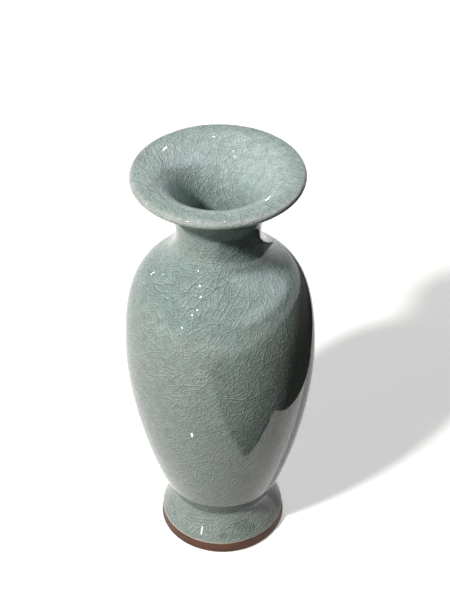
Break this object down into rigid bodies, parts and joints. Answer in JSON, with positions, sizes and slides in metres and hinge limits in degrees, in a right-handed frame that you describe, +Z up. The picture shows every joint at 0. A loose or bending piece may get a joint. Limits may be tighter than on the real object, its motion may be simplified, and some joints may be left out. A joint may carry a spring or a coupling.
{
  "type": "vase",
  "caption": "Baluster vase with a trumpet mouth, in stoneware sections under a crackled celadon glaze, with a bare brown foot band; stands on a flat surface and holds stems or water.",
  "frame": {"origin": "centre of the foot ring's resting face, on the vase's axis", "axes": "+Z up along the vase's axis towards the mouth; the vase is round, so +X and +Y are any two level directions"},
  "size_m": [0.15, 0.15, 0.355],
  "materials": {
    "celadon_glaze": "glossy crackled celadon",
    "bare_clay": "matte fired stoneware",
    "joining_slip": "matte fired slip",
    "iron_wash": "satin iron-brown wash"
  },
  "bodies": {
    "root": {"foot_section": "bare_clay", "waist_slip_joint": "joining_slip", "lower_body": "bare_clay", "belly_slip_joint": "joining_slip", "upper_body": "bare_clay", "neck_slip_joint": "joining_slip", "neck_section": "bare_clay", "outer_glaze": "celadon_glaze", "inner_glaze": "celadon_glaze", "foot_well_glaze": "celadon_glaze", "iron_wash_band": "iron_wash"}
  },
  "joints": []
}
